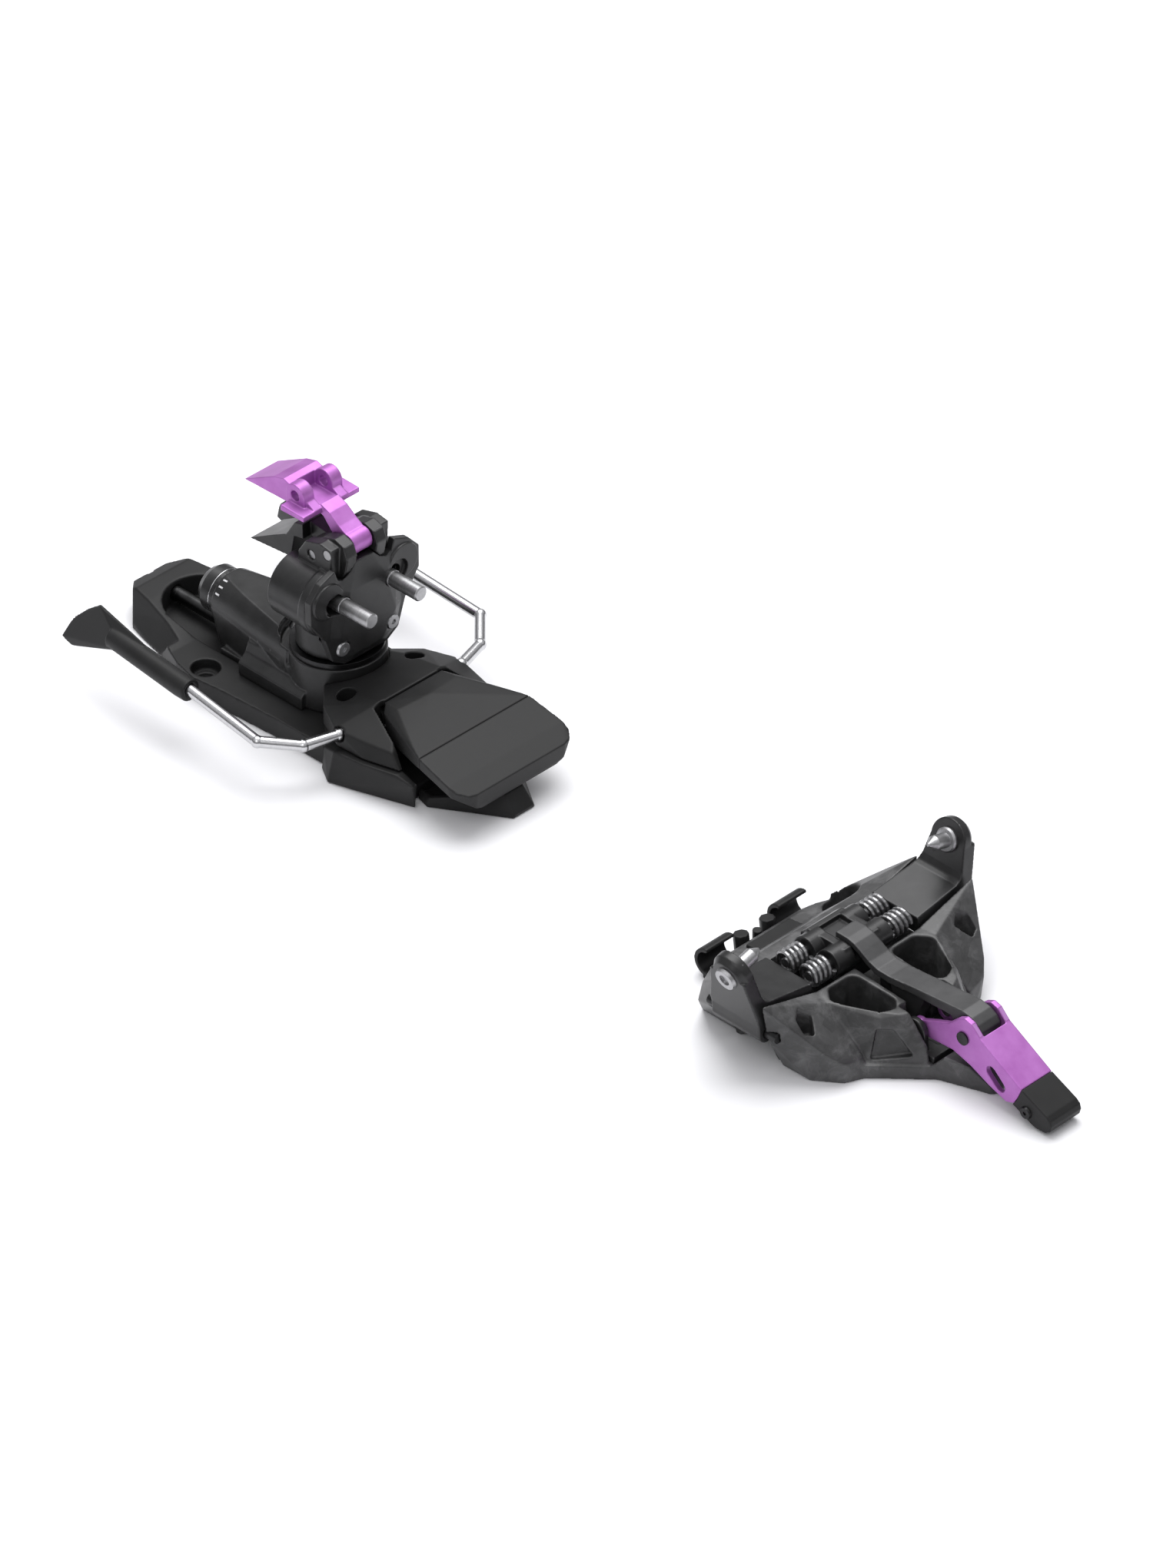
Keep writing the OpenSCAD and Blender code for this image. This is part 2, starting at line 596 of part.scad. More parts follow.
// Faceted plate on the tower's front
module tower_plate() color(black) {
    half = [[0, 27.6], [9.8, 27.8], [14.8, 31], [18.2, 41], [24.6, 50], [24.6, 58.4],
        [20, 63.4], [13.4, 66], [12, 62], [8.4, 60], [4.2, 65.4], [0, 65.6]];
    mirrored = [for (i = [len(half) - 2:-1:1]) [-half[i][0], half[i][1]]];
    difference() {
        union() {
            along(concat(half, mirrored), -217, tower_face - 1.4);
            facets([
                [tower_face - 1.5, 9, 28.2], [tower_face - 1.5, 13.6, 31.4],
                [tower_face - 1.5, 16.6, 41], [tower_face - 1.5, 14, 60],
                [tower_face - 1.5, 3.4, 65.2], [tower_face - 1.5, -3.4, 65.2],
                [tower_face - 1.5, -14, 60], [tower_face - 1.5, -16.6, 41],
                [tower_face - 1.5, -13.6, 31.4], [tower_face - 1.5, -9, 28.2],
                [tower_face, 6, 31], [tower_face, 12.4, 40], [tower_face, 8, 56],
                [tower_face, -8, 56], [tower_face, -12.4, 40], [tower_face, -6, 31]
            ]);
            both_sides() rod_x(6.4, -217, tower_face - 0.6, 17, 56);
        }
        both_sides() {
            pin_slot(-230, -200);
            rod_x(4, tower_face - 2.2, -200, heel_pin_y + 3.4, heel_pin_z + 1.2);
            rod_x(1.5, -230, -200, 11.2, 35);
            rod_x(2.9, tower_face - 0.8, -200, 11.2, 35);
        }
    }
}

module plate_screws() color(steel) both_sides()
    translate([tower_face - 0.8, 11.2, 35]) rotate([0, 90, 0]) screw(2.8, 0.9, 1.46, 8, 1);

module heel_pin() color(steel)
    translate([tower_face + heel_pin_reach, heel_pin_y, heel_pin_z]) rotate([0, -90, 0])
        rotate_extrude() polygon([
            [0, 0], [heel_pin_d / 2 - 0.4, 0], [heel_pin_d / 2, 0.4],
            [heel_pin_d / 2, heel_pin_free], [heel_pin_d / 2 + 0.2, heel_pin_free],
            [heel_pin_d / 2 + 0.2, 33], [0, 33]
        ]);

// Slot of the left heel pin: round at both ends, long enough for the pin's spread
module pin_slot(x0, x1) {
    r = heel_pin_d / 2 + 0.2 + running;
    rod_x(r, x0, x1, heel_pin_y, heel_pin_z);
    rod_x(r, x0, x1, heel_pin_y + pin_spread, heel_pin_z);
    box([x0, x1], [heel_pin_y, heel_pin_y + pin_spread],
        [heel_pin_z - r - 0.06, heel_pin_z + r + 0.06]);
}

module left_heel_pin() heel_pin();
module right_heel_pin() mirror([0, 1, 0]) heel_pin();

module pin_spring() color(steel) translate([-230, -7.6, heel_pin_z]) rotate([-90, 0, 0])
    coil(2.2, 0.5, 15.2, 6);

module upper_riser_axle() color(steel)
    rod_y(1.73, -12.8, 12.8, upper_hinge[0], upper_hinge[1]);

module lower_riser_axle() color(steel)
    rod_y(1.73, -12.2, 12.2, lower_hinge[0], lower_hinge[1]);

module upper_riser() color(violet) difference() {
    union() {
        // neck and nose between the tower's ears
        across([[-222.6, 68.6], [-229.4, 76.2], [-235, 78], [-235, 81], [-230.4, 80.4],
            [-226.4, 78.8], [-222, 75.6], [-219, 73.9]], -4, 4);
        rod_y(3.9, -4, 4, upper_hinge[0], upper_hinge[1]);
        // tail wedge
        across([[-262.7, 76.7], [-248.8, 84.2], [-244, 85.6], [-236, 83], [-229.6, 79.4],
            [-229.6, 77.6], [-241, 77.2]], -7.6, 7.6);
        both_sides() {
            rod_y(4.3, 4, 8.7, -237.6, 82.3);
            across([[-240.4, 77.4], [-229.6, 77.6], [-229.6, 79.4], [-240.4, 79.6]], 4, 12.7);
            across([[-241.9, 77.4], [-233.3, 77.6], [-233.3, 82.3], [-241.9, 82.3]], 4, 8.7);
        }
    }
    box([-241.4, -230.6], [-4, 4], [79.6, 95]);
    rod_y(1.9, -20, 20, -237.6, 82.3);
    rod_y(1.73 + running, -20, 20, upper_hinge[0], upper_hinge[1]);
}

module lower_riser() color(black) difference() {
    union() {
        across([[-260.8, 54.4], [-250, 60.6], [-243.6, 64], [-239.4, 70.6], [-235.6, 71.6],
            [-235.4, 66], [-239.6, 65.2], [-241.4, 56.2]], -7.5, 7.5);
        across([[-238, 71.4], [-231, 70.8], [-226, 70.2], [-223.6, 67], [-226, 63.4],
            [-230, 64], [-235.4, 66]], -4, 4);
        rod_y(3.4, -4, 4, lower_hinge[0], lower_hinge[1]);
    }
    rod_y(3.9 + gap, -5, 5, upper_hinge[0], upper_hinge[1]);
    rod_y(1.73 + running, -20, 20, lower_hinge[0], lower_hinge[1]);
}

// ---------- brake ----------

module brake_cover() color(black) difference() {
    union() {
        translate([0, 0, 7.7]) linear_extrude(5) polygon([
            [-222, 12], [-211, 22.4], [-192, 22.4], [-178, 20.4], [-178, -20.4], [-192, -22.4],
            [-211, -22.4], [-222, -12]]);
        facets([for (s = [-1, 1]) each [
            [-222, s * 12, 12.4], [-222, s * 12, 19.6], [-211, s * 23, 12.4],
            [-211, s * 23, 19.6], [-199, s * 28.6, 12.4],
            [-200, s * 28.4, 18.6], [-187, s * 28, 12.4], [-188, s * 26.4, 17.6],
            [-174, s * 24.4, 12.6], [-178, s * 24, 17.6], [-194, s * 14, 25],
            [-210, s * 14, 22.4], [-186, s * 14.6, 23.6], [-180, s * 20, 19]
        ]]);
    }
    // opening for the carriage and the turret's cup
    rod_z(cup_r + 0.4, 0, 40, -tower_x, 0);
    box([-240, -209.6], [-14.2, 14.2], [0, 10]);
    // room for the pedal and its hub
    box([-193.4, -160], [-13.2, 13.2], [0, 40]);
    box([-206, -190], [-13.2, 13.2], [7, 22.6]);
    both_sides() {
        rod_z(3.3, 0, 40, heel_front_x, heel_front_half);
        linear_extrude(40) polygon([[-194, 16.4], [-160, 27.8], [-160, 12], [-194, 12]]);
        rod_y(2.7, 26.8, 40, -brake_x, brake_z);
    }
    rod_y(wire_d / 2 + running, -40, 40, -brake_x, brake_z);
}

// Low fairing on both sides of the brake
module brake_skirt() color(black) difference() {
    facets([for (s = [-1, 1]) each [
        [-206, s * 29, 0.1], [-199, s * 33.2, 0.1], [-190, s * 30.4, 0.1],
        [-168.4, s * 23, 0.1], [-205, s * 28.6, 9], [-198, s * 31, 11.8],
        [-186, s * 29.6, 12], [-174, s * 26.2, 12], [-167.6, s * 25, 10]
    ]]);
    box([-215, -150], [-22.8, 22.8], [-1, 20]);
    both_sides() {
        linear_extrude(7.8) polygon([[-215, 20], [-215, 27.4], [-206, 27.4], [-190, 24.2],
            [-172, 19.2]]);
    }
}

module front_plate() color(black) difference() {
    facets([for (s = [-1, 1]) each [
        [-171.8, s * 18.6, 0.1], [-166, s * 20.2, 0.1], [-150, s * 8.6, 0.1],
        [-141.6, s * 5, 0.1], [-141.4, s * 4.4, 1.4], [-146, s * 3.8, 7.4],
        [-151, s * 6, 6.6], [-166, s * 19.6, 3.4], [-171.8, s * 18.2, 3.4]
    ]]);
    facets([for (s = [-1, 1]) each [
        [-175, s * 16.4, 1.6], [-166, s * 17.4, 1.6], [-151, s * 5.4, 1.6],
        [-149.6, s * 3, 9], [-166, s * 18, 9], [-175, s * 17, 9]
    ]]);
}

module brake_spring() color(steel) both_sides()
    translate([-brake_x, 3.8, brake_z]) rotate([-90, 0, 0]) coil(3.2, 0.6, 7.6, 5);

// Central part of the brake, pushed down by the boot
module brake_pedal() color(black) difference() {
    union() {
        difference() {
            facets([for (s = [-1, 1]) each [
                [-198, s * 12.8, 23], [-192.8, s * 12.8, 25], [-198, s * 12.8, 13],
                [-186, s * 13.4, 25.6], [-184.6, 0, 26.2], [-171.6, s * 21.4, 22.6],
                [seam_x, s * 25.2, 22.9], [seam_x, s * 25.2, 19], [seam_x, s * 20, 15.2],
                [-170, s * 21, 15], [-186, s * 13.4, 13.6]
            ]]);
            rod_y(10.2, -40, 40, -brake_x, brake_z);
        }
        box([-brake_x, -186], [-12.6, 12.6], [12.2, 15.2]);
        rod_y(hub_r, -12.6, 12.6, -brake_x, brake_z);
    }
    rod_y(wire_d / 2 + 0.02, -40, 40, -brake_x, brake_z);
    both_sides() rod_y(4.1, 3.6, 11.6, -brake_x, brake_z);
}

// Clip-on pad under the boot's sole
module brake_pad() color(black) {
    facets([for (s = [-1, 1]) each [
        [seam_x + 0.02, s * 25.2, 22.9], [seam_x + 0.02, s * 25.2, 19],
        [seam_x + 0.02, s * 20, 15.2], [-150, s * 26.2, 19.4], [-146.4, s * 25.6, 18],
        [-143.4, s * 23, 17.2], [-142.6, s * 20, 17], [-149, s * 25.8, 15.2],
        [-143.2, s * 20, 11.2], [-143.6, s * 17, 9.8], [-150, s * 18, 10]
    ]]);
}

// Straight legs of the wire, from the given corner on
module wire(r, first) {
    for (i = [first:len(wire_route) - 2]) {
        leg = wire_route[i + 1] - wire_route[i];
        translate(wire_route[i])
            rotate([0, acos(leg[2] / norm(leg)), atan2(leg[1], leg[0])])
                cylinder(r = r, h = norm(leg));
    }
}

// The wire of one side: a straight pivot, two bends and the run to the foot
module brake_arm() color(chrome) translate([-brake_x, 0, brake_z]) {
    wire(wire_d / 2, 0);
    for (i = [1:len(wire_route) - 2])
        translate(wire_route[i]) rotate([37, 23, 0]) sphere(r = wire_d / 2 + 0.2);
}

// Plastic shoe on the end of one wire, wide at its tail
module brake_foot() color(black) translate([-brake_x, 0, brake_z]) difference() {
    union() {
        hull() {
            rod_x(3.9, -52, -47.4, wire_half - 1.7, 4.4, $fn = 32);
            rod_x(3.7, -86, -82, wire_half - 3, 6.4, $fn = 32);
        }
        facets([
            [-78, wire_half - 6.2, 7.4], [-78, wire_half + 0.6, 6.4], [-84, wire_half - 4.6, 2.2],
            [-85, wire_half - 1, 2.6], [-95.6, wire_half - 6.9, 12.8],
            [-94, wire_half - 5.4, 13.4], [-101, wire_half - 5.6, 9], [-106, wire_half - 3.9, 4.2],
            [-71, wire_half - 3.8, 10.2],
            [-109.2, wire_half - 1, -3.6], [-104, wire_half - 0.6, -4.8],
            [-104, wire_half - 2.6, -4.6], [-109, wire_half - 2.4, -3.2]
        ]);
    }
    wire(wire_d / 2 + 0.02, len(wire_route) - 2);
}

module left_brake_arm() brake_arm();
module right_brake_arm() mirror([0, 1, 0]) brake_arm();
module left_brake_foot() brake_foot();
module right_brake_foot() mirror([0, 1, 0]) brake_foot();

toe_base();
toe_label_plate();
crampon_receiver();
left_wing_axle();
right_wing_axle();
rocker_axle();
lever_bracket();
lever_axle();
left_wing();
right_wing();
left_toe_pin();
right_toe_pin();
left_pin_screw();
right_pin_screw();
spring_carrier();
spring_rods();
left_toe_springs();
right_toe_springs();
rocker_bar();
toe_lever();
lever_link_pin();
lever_tip();
tip_screws();
heel_base();
adjust_screw();
heel_carriage();
turret_ring();
release_knob();
release_spring();
spring_nut();
plunger();
turret_post();
tower_body();
tower_plate();
plate_screws();
left_heel_pin();
right_heel_pin();
pin_spring();
upper_riser_axle();
upper_riser();
lower_riser_axle();
lower_riser();
brake_cover();
brake_skirt();
front_plate();
brake_spring();
brake_pedal();
brake_pad();
left_brake_arm();
right_brake_arm();
left_brake_foot();
right_brake_foot();
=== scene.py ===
"""Looks of a pin touring binding: a toe unit, a heel unit and its ski brake."""

import json
import math

import bmesh
import bpy
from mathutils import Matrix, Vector

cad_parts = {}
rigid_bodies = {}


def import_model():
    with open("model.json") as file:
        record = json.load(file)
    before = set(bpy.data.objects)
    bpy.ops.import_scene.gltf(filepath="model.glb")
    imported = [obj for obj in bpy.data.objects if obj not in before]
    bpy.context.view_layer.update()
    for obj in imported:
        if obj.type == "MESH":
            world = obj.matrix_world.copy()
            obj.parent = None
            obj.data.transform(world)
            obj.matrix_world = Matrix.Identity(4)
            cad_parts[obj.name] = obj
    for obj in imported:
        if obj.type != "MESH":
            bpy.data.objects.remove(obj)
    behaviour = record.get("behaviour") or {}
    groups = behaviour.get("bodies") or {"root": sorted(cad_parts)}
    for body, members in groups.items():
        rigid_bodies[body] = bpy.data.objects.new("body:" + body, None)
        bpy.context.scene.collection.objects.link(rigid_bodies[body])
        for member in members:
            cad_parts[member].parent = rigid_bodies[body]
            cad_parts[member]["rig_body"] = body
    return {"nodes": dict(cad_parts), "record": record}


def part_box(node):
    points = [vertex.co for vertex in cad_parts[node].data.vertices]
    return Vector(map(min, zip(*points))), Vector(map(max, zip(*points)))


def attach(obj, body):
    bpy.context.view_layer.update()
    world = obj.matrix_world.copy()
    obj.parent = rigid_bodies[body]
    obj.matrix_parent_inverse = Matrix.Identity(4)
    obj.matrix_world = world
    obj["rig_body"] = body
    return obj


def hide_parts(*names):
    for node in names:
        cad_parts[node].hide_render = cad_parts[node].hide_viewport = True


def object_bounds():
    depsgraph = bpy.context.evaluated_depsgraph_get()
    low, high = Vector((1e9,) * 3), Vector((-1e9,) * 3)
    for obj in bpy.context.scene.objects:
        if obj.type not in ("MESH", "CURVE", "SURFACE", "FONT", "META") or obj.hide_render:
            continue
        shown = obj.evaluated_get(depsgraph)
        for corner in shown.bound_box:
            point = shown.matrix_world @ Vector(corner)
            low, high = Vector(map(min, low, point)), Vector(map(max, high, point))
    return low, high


MM = 0.001
CAMERA_TARGET = Vector((-0.1409, 0.0234, 0.0))
CAMERA_AZIMUTH = 44.77
CAMERA_ELEVATION = 35.74
CAMERA_DISTANCE = 3.0
CAMERA_LENS = 211.76
SKY_STRENGTH = 0.85
# pointiness where the painted edge highlight begins and where it is full
EDGE_POINTINESS = (0.545, 0.63)
# radius of the shading over sharp corners, and drift of the carbon chips
CORNER_RADIUS = 0.25 * MM
CHIP_DRIFT = 12 * MM
# groove round the release knob and rear end of the tapered barrel, in millimetres
KNOB_GROOVE = -281.3
BARREL_END = -278.4
BARREL_END_RADIUS = 9.8
BARREL_TAPER = 5.8 / 42

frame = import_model()
cad_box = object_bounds()
slot_of = {s["node"]: s["material_slot"] for s in frame["record"]["subparts"]}


# ---------- node helpers ----------


def principled(name, **constants):
    """A new material with its tree and its shader, constants set on the shader itself."""
    made = bpy.data.materials.new(name)
    made.use_nodes = True
    shader = made.node_tree.nodes["Principled BSDF"]
    for socket, value in constants.items():
        shader.inputs[socket.replace("_", " ")].default_value = value
    return made, made.node_tree, shader


def add(tree, kind, inputs=None, **settings):
    """A node with its settings, and its inputs given as values or as sockets to link."""
    made = tree.nodes.new(kind)
    for key, value in settings.items():
        setattr(made, key, value)
    for key, value in (inputs or {}).items():
        if isinstance(value, bpy.types.NodeSocket):
            tree.links.new(value, made.inputs[key])
        else:
            made.inputs[key].default_value = value
    return made


def grey(value):
    """A neutral grey with a trace of blue."""
    return (value, value, value * 1.02, 1.0)


def coordinates(tree, stretch=(1, 1, 1)):
    """Coordinates of the piece in metres, stretched for grain that runs one way."""
    place = add(tree, "ShaderNodeTexCoord").outputs["Object"]
    return add(tree, "ShaderNodeMapping", {"Vector": place, "Scale": stretch}).outputs[0]


def noise(tree, vector, scale, detail, rough=0.55):
    """Fractal noise, with scale in cells a metre."""
    return add(
        tree,
        "ShaderNodeTexNoise",
        {"Vector": vector, "Scale": scale, "Detail": detail, "Roughness": rough},
    )


def ramp(tree, factor, stops):
    """A colour ramp through (position, colour) stops."""
    made = add(tree, "ShaderNodeValToRGB", {"Fac": factor})
    band = made.color_ramp
    while len(band.elements) < len(stops):
        band.elements.new(0.5)
    for element, (position, colour) in zip(band.elements, stops):
        element.position = position
        element.color = colour
    return made.outputs["Color"]


def mixed(tree, factor, first, second):
    """The colour that lies between two others by the given factor."""
    made = add(tree, "ShaderNodeMix", data_type="RGBA")
    for index, value in ((0, factor), (6, first), (7, second)):
        if isinstance(value, bpy.types.NodeSocket):
            tree.links.new(value, made.inputs[index])
        else:
            made.inputs[index].default_value = value
    return made.outputs[2]


def span(tree, value, low, high):
    """The value, from 0 to 1, moved to the span from low to high."""
    return add(
        tree, "ShaderNodeMapRange", {"Value": value, "To Min": low, "To Max": high}
    ).outputs[0]


def edges(tree):
    """A mask that is 1 along convex edges, where a paler painted highlight is laid."""
    # marks where the painted edge highlight goes
    point = add(tree, "ShaderNodeNewGeometry").outputs["Pointiness"]
    start, end = EDGE_POINTINESS
    return add(
        tree, "ShaderNodeMapRange", {"Value": point, "From Min": start, "From Max": end}
    ).outputs[0]


def relief(tree, shader, height, strength, distance):
    """Surface relief over softly rounded corners."""
    corner = add(tree, "ShaderNodeBevel", {"Radius": CORNER_RADIUS}, samples=4).outputs[0]
    bump = add(
        tree,
        "ShaderNodeBump",
        {"Height": height, "Strength": strength, "Distance": distance, "Normal": corner},
    )
    tree.links.new(bump.outputs[0], shader.inputs["Normal"])


# ---------- materials ----------


def forged_carbon():
    """Pressed carbon chips under satin resin: overlapping flakes in greys."""
    made, tree, shader = principled(
        "forged_carbon", Coat_Weight=0.25, Coat_Roughness=0.35, Specular_IOR_Level=0.5
    )
    place = coordinates(tree)
    swirl = noise(tree, place, 70, 3)
    warped = add(
        tree,
        "ShaderNodeVectorMath",
        {0: swirl.outputs["Color"], 1: (CHIP_DRIFT, CHIP_DRIFT, CHIP_DRIFT)},
        operation="MULTIPLY",
    ).outputs[0]
    moved = add(tree, "ShaderNodeVectorMath", {0: place, 1: warped}, operation="ADD")
    chips = add(
        tree, "ShaderNodeTexVoronoi", {"Vector": moved.outputs[0], "Scale": 190}
    ).outputs["Color"]
    shade = ramp(
        tree, chips, [(0.1, grey(0.016)), (0.5, grey(0.032)), (0.9, grey(0.07))]
    )
    clouds = noise(tree, moved.outputs[0], 80, 6, 0.72).outputs[0]
    cloud_shade = ramp(
        tree, clouds, [(0.36, grey(0.016)), (0.5, grey(0.04)), (0.66, grey(0.13))]
    )
    colour = mixed(tree, 0.62, shade, cloud_shade)
    tree.links.new(colour, shader.inputs["Base Color"])
    tree.links.new(span(tree, clouds, 0.36, 0.6), shader.inputs["Roughness"])
    relief(tree, shader, noise(tree, place, 900, 4).outputs[0], 0.12, 0.2 * MM)
    return made


def moulded_plastic():
    """Glass-filled charcoal plastic with a fine spark grain."""
    made, tree, shader = principled("black_plastic", Specular_IOR_Level=0.24)
    place = coordinates(tree)
    tone = noise(tree, place, 60, 4).outputs[0]
    colour = ramp(tree, tone, [(0.3, grey(0.011)), (0.7, grey(0.017))])
    # convex edges lightened to a paler grey as a painted highlight
    colour_with_edge_highlight = mixed(tree, edges(tree), colour, grey(0.05))
    tree.links.new(colour_with_edge_highlight, shader.inputs["Base Color"])
    tree.links.new(span(tree, tone, 0.4, 0.54), shader.inputs["Roughness"])
    grain = noise(tree, place, 3200, 2, 0.6).outputs[0]
    relief(tree, shader, grain, 0.25, 0.05 * MM)
    return made


def anodised(name, dark, light, edge_highlight, metal, rough):
    """Bead-blasted and dyed aluminium, with a paler painted highlight along its edges."""
    made, tree, shader = principled(name, Metallic=metal, Specular_IOR_Level=0.6)
    place = coordinates(tree)
    tone = noise(tree, place, 140, 4).outputs[0]
    colour = ramp(tree, tone, [(0.3, dark), (0.7, light)])
    # the edges take the paler colour as a painted highlight
    tree.links.new(
        mixed(tree, edges(tree), colour, edge_highlight), shader.inputs["Base Color"]
    )
    tree.links.new(span(tree, tone, *rough), shader.inputs["Roughness"])
    relief(tree, shader, noise(tree, place, 5200, 2).outputs[0], 0.2, 0.03 * MM)
    return made


def white_paint():
    """Pad-printed white ink, a little uneven."""
    made, tree, shader = principled("white_paint", Specular_IOR_Level=0.3)
    tone = noise(tree, coordinates(tree), 900, 3).outputs[0]
    tree.links.new(
        ramp(tree, tone, [(0.3, grey(0.6)), (0.7, grey(0.78))]),
        shader.inputs["Base Color"],
    )
    tree.links.new(span(tree, tone, 0.45, 0.6), shader.inputs["Roughness"])
    return made


def steel(name, dark, light, rough, stretch, grain=0.3):
    """Turned or drawn steel with fine marks that run one way."""
    made, tree, shader = principled(name, Metallic=1.0)
    place = coordinates(tree, stretch)
    lines = noise(tree, place, 260, 5, 0.7).outputs[0]
    tree.links.new(
        ramp(tree, lines, [(0.3, grey(dark)), (0.7, grey(light))]),
        shader.inputs["Base Color"],
    )
    tree.links.new(span(tree, lines, *rough), shader.inputs["Roughness"])
    relief(tree, shader, lines, grain, 0.03 * MM)
    return made


VIOLET_DARK = (0.4, 0.13, 0.45, 1)
VIOLET_LIGHT = (0.49, 0.19, 0.55, 1)
# pale violet of the painted highlight along edges
VIOLET_EDGE_HIGHLIGHT = (0.62, 0.3, 0.7, 1)

# the third colour given to each alloy is the painted highlight along its edges
materials = {
    "forged_carbon": forged_carbon(),
    "black_plastic": moulded_plastic(),
    "black_alloy": anodised(
        "black_alloy", grey(0.022), grey(0.034), grey(0.11), 0.5, (0.28, 0.42)
    ),
    "violet_alloy": anodised(
        "violet_alloy", VIOLET_DARK, VIOLET_LIGHT, VIOLET_EDGE_HIGHLIGHT, 0.65, (0.4, 0.52)
    ),
    "grey_alloy": anodised(
        "grey_alloy", grey(0.05), grey(0.07), grey(0.16), 0.5, (0.36, 0.48)
    ),
    "steel": steel("steel", 0.32, 0.46, (0.34, 0.46), (9, 1, 1), 0.15),
    "spring_steel": steel("spring_steel", 0.24, 0.4, (0.3, 0.44), (1, 1, 6)),
    "black_steel": steel("black_steel", 0.03, 0.055, (0.3, 0.45), (1, 1, 1)),
    "bright_wire": steel("bright_wire", 0.5, 0.62, (0.16, 0.26), (6, 6, 1), 0.08),
    "white_paint": white_paint(),
}


# ---------- pieces ----------


def painted(piece, material):
    """Leaves the piece with one material."""
    piece.data.materials.clear()
    piece.data.materials.append(material)


def evaluated_mesh(piece):
    """The piece's mesh with its modifiers applied."""
    graph = bpy.context.evaluated_depsgraph_get()
    return bpy.data.meshes.new_from_object(piece.evaluated_get(graph))


def softened(node, voxel, rounds):
    """A copy of a CAD node whose edges are rounded as moulding or tumbling leaves them."""
    mesh = frame["nodes"][node].data.copy()
    piece = bpy.data.objects.new(node + "_shell", mesh)
    bpy.context.scene.collection.objects.link(piece)
    weld = piece.modifiers.new("weld", "WELD")
    weld.merge_threshold = 0.002 * MM
    remesh = piece.modifiers.new("remesh", "REMESH")
    remesh.mode = "VOXEL"
    remesh.voxel_size = voxel * MM
    remesh.use_smooth_shade = True
    smooth = piece.modifiers.new("smooth", "SMOOTH")
    smooth.factor = 0.5
    smooth.iterations = rounds
    piece.data = evaluated_mesh(piece)
    piece.modifiers.clear()
    body = frame["nodes"][node]["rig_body"]
    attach(piece, body)
    painted(piece, materials[slot_of[node]])
    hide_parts(node)


# voxel size in millimetres and smoothing rounds of each shell
SHELLS = {
    "toe_base": (0.4, 7),
    "toe_label_plate": (0.25, 2),
    "crampon_receiver": (0.25, 3),
    "left_wing": (0.25, 4),
    "right_wing": (0.25, 4),
    "lever_bracket": (0.25, 3),
    "spring_carrier": (0.25, 3),
    "rocker_bar": (0.25, 3),
    "toe_lever": (0.22, 3),
    "lever_tip": (0.22, 4),
    "heel_base": (0.42, 5),
    "heel_carriage": (0.32, 5),
    "tower_body": (0.28, 4),
    "tower_plate": (0.24, 3),
    "upper_riser": (0.22, 3),
    "lower_riser": (0.22, 3),
    "brake_cover": (0.35, 4),
    "brake_skirt": (0.35, 4),
    "front_plate": (0.35, 4),
    "brake_pedal": (0.35, 4),
    "brake_pad": (0.32, 4),
    "left_brake_foot": (0.32, 4),
    "right_brake_foot": (0.32, 4),
}
for shell_node, (shell_voxel, shell_rounds) in SHELLS.items():
    softened(shell_node, shell_voxel, shell_rounds)

for cad_name, cad_node in frame["nodes"].items():
    painted(cad_node, materials[slot_of[cad_name]])


# ---------- small details ----------


def lathed(name, profile, start):
    """A ring round the X axis through start, from (x, radius) points in millimetres."""
    mesh = bmesh.new()
    sides = 72
    loops = []
    for x, radius in profile:
        loop = []
        for step in range(sides):
            angle = 2 * math.pi * step / sides
            offset = Vector((x, radius * math.cos(angle), radius * math.sin(angle)))
            loop.append(mesh.verts.new(start + offset * MM))
        loops.append(loop)
    for first, second in zip(loops, loops[1:] + loops[:1]):
        for step in range(sides):
            after = (step + 1) % sides
            mesh.faces.new((first[step], first[after], second[after], second[step]))
    return meshed(name, mesh)


def tapered_mark(name, start, ends, radii, angle, width, lift):
    """A thin bar along a cone round the X axis through start, in millimetres and degrees."""
    mesh = bmesh.new()
    steps = 6
    rings = []
    for x, radius in zip(ends, radii):
        ring = []
        for shell in (radius - lift, radius + lift):
            for step in range(steps + 1):
                turn = math.radians(angle) + width * (step / steps - 0.5) / radius
                offset = Vector((x, -shell * math.sin(turn), shell * math.cos(turn)))
                ring.append(mesh.verts.new(start + offset * MM))
        rings.append(ring[: steps + 1] + ring[: steps : -1])
    first, second = rings
    for step, corner in enumerate(first):
        after = (step + 1) % len(first)
        mesh.faces.new((corner, first[after], second[after], second[step]))
    mesh.faces.new(first)
    mesh.faces.new(second)
    return meshed(name, mesh)


def meshed(name, mesh):
    """An object from a bmesh, smooth and with its faces outwards."""
    bmesh.ops.recalc_face_normals(mesh, faces=mesh.faces)
    data = bpy.data.meshes.new(name)
    mesh.to_mesh(data)
    mesh.free()
    data.shade_smooth()
    piece = bpy.data.objects.new(name, data)
    bpy.context.scene.collection.objects.link(piece)
    return piece


def dressed(piece, body, material):
    """Lets a small piece ride on a body and a material."""
    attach(piece, body)
    painted(piece, material)


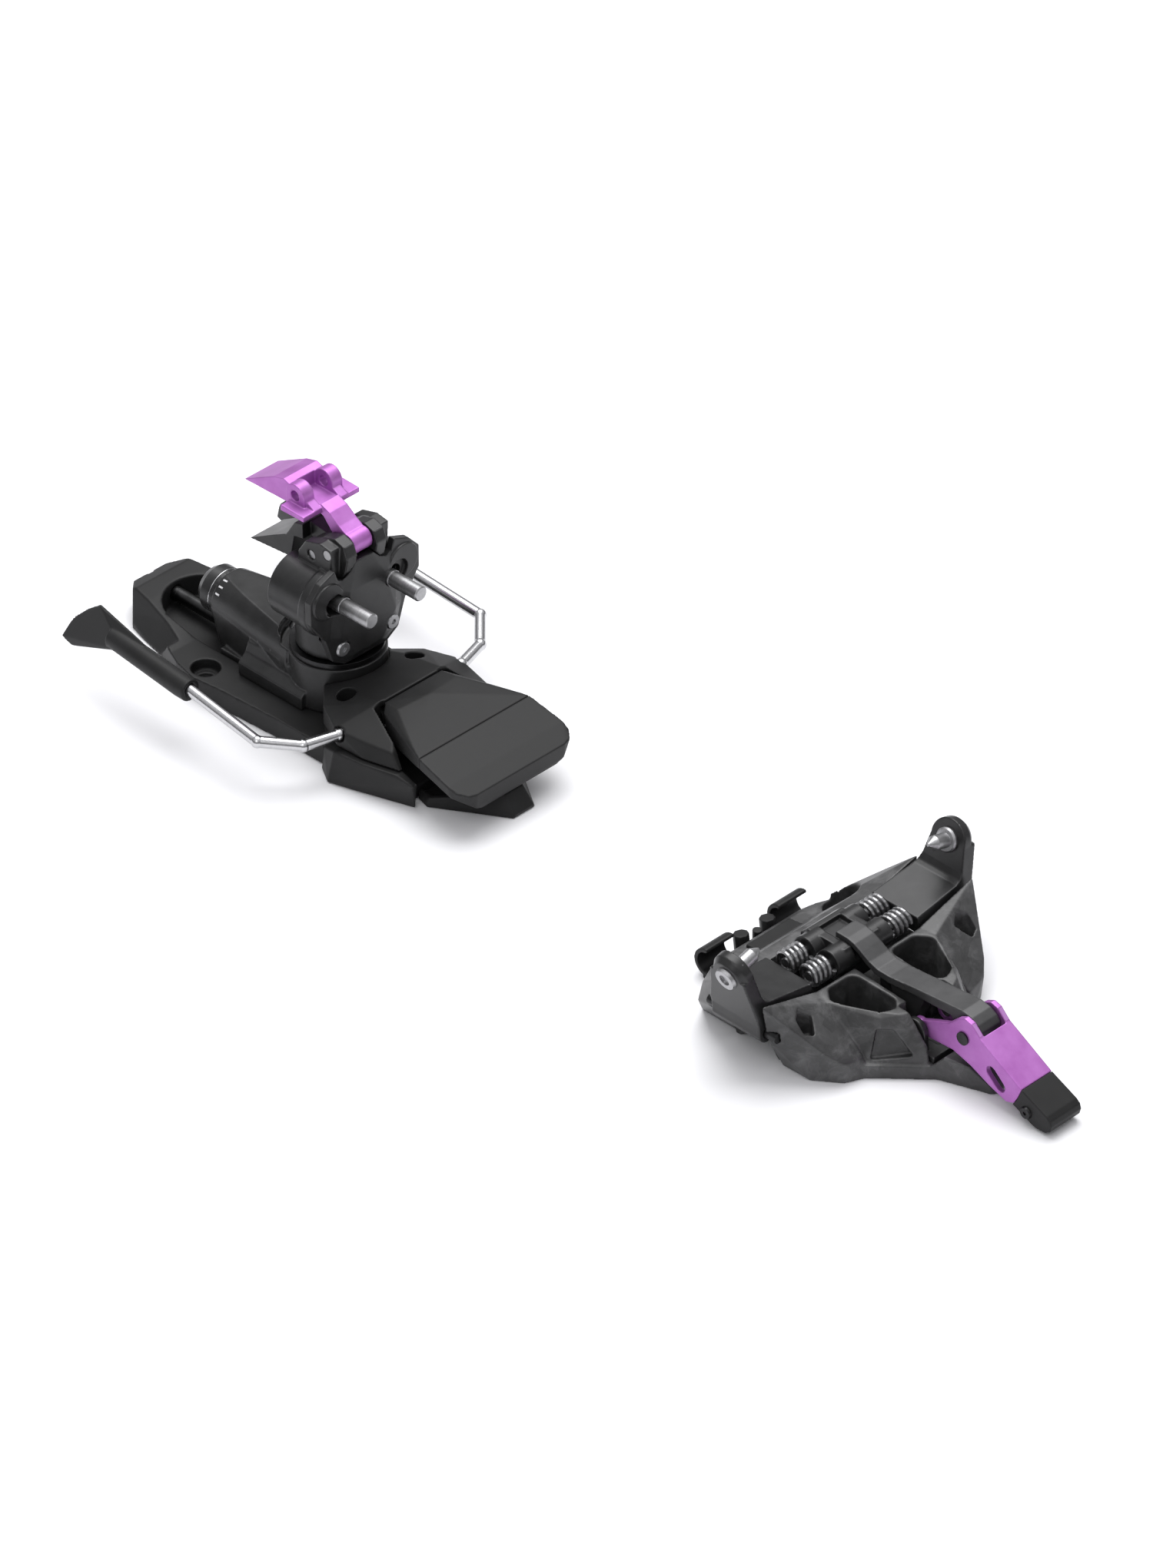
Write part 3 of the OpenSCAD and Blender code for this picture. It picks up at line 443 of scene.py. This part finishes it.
def knob_details():
    """The bright index ring in the knob's groove and the scale on the barrel beside it."""
    low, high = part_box("release_knob")
    radius = (high.z - low.z) / 2 / MM
    centre = Vector((0, 0, (low.z + high.z) / 2))
    half_width, half_height, depth = 0.28, 0.2, 0.27
    profile = [
        (KNOB_GROOVE + half_width * math.cos(a), radius - depth + half_height * math.sin(a))
        for a in [math.pi * k / 4 for k in range(8)]
    ]
    ring = lathed("knob_index_ring", profile, centre)
    dressed(ring, "knob", materials["bright_wire"])
    gap, length, width, lift = 1.2, 2.0, 0.6, 0.07
    ends = (BARREL_END + gap, BARREL_END + gap + length)
    radii = [BARREL_END_RADIUS + BARREL_TAPER * (x - BARREL_END) for x in ends]
    for number, angle in enumerate((28, 43, 58)):
        name = f"scale_mark_{number + 1}"
        mark = tapered_mark(name, centre, ends, radii, angle, width, lift)
        dressed(mark, "carriage", materials["white_paint"])


knob_details()


# ---------- stage, light and camera ----------


def floor():
    """A pale floor, wide enough to fill every view."""
    bpy.ops.mesh.primitive_plane_add(size=12, location=(0, 0, cad_box[0].z - 0.1 * MM))
    plane = bpy.context.object
    plane.name = "floor"
    made, tree, shader = principled("floor", Roughness=0.9, Specular_IOR_Level=0.1)
    tone = noise(tree, coordinates(tree), 3, 2).outputs[0]
    tree.links.new(
        ramp(tree, tone, [(0.3, grey(0.86)), (0.7, grey(0.9))]),
        shader.inputs["Base Color"],
    )
    plane.data.materials.append(made)


def area_light(name, place, size, power):
    """A soft square lamp that faces the middle of the binding."""
    lamp = bpy.data.lights.new(name, "AREA")
    lamp.size = size
    lamp.energy = power
    thing = bpy.data.objects.new(name, lamp)
    bpy.context.scene.collection.objects.link(thing)
    thing.location = place
    aim = CAMERA_TARGET - Vector(place)
    thing.rotation_euler = aim.to_track_quat("-Z", "Y").to_euler()


def camera():
    """The camera, which looks down on the binding's front right corner."""
    turn, lift = math.radians(CAMERA_AZIMUTH), math.radians(CAMERA_ELEVATION)
    back = Vector(
        (
            math.sin(turn) * math.cos(lift),
            -math.cos(turn) * math.cos(lift),
            math.sin(lift),
        )
    )
    lens = bpy.data.cameras.new("camera")
    lens.sensor_width = 36
    lens.lens = CAMERA_LENS
    lens.clip_start, lens.clip_end = 0.1, 50
    thing = bpy.data.objects.new("camera", lens)
    bpy.context.scene.collection.objects.link(thing)
    thing.location = CAMERA_TARGET + back * CAMERA_DISTANCE
    thing.rotation_euler = (-back).to_track_quat("-Z", "Y").to_euler()
    bpy.context.scene.camera = thing


def sky():
    """A white ceiling that falls off to grey at the horizon."""
    world = bpy.data.worlds.new("studio")
    world.use_nodes = True
    tree = world.node_tree
    height = add(
        tree,
        "ShaderNodeSeparateXYZ",
        {"Vector": add(tree, "ShaderNodeTexCoord").outputs["Generated"]},
    ).outputs["Z"]
    shade = ramp(tree, height, [(0.05, grey(0.1)), (0.45, grey(0.55)), (0.9, grey(1.0))])
    tree.links.new(shade, tree.nodes["Background"].inputs["Color"])
    tree.nodes["Background"].inputs["Strength"].default_value = SKY_STRENGTH
    bpy.context.scene.world = world


floor()
sky()
area_light("key", (-0.6, 0.5, 1.9), 1.7, 40)
area_light("fill", (0.5, -1.5, 1.6), 1.2, 7)
camera()
bpy.context.scene.view_settings.view_transform = "Standard"
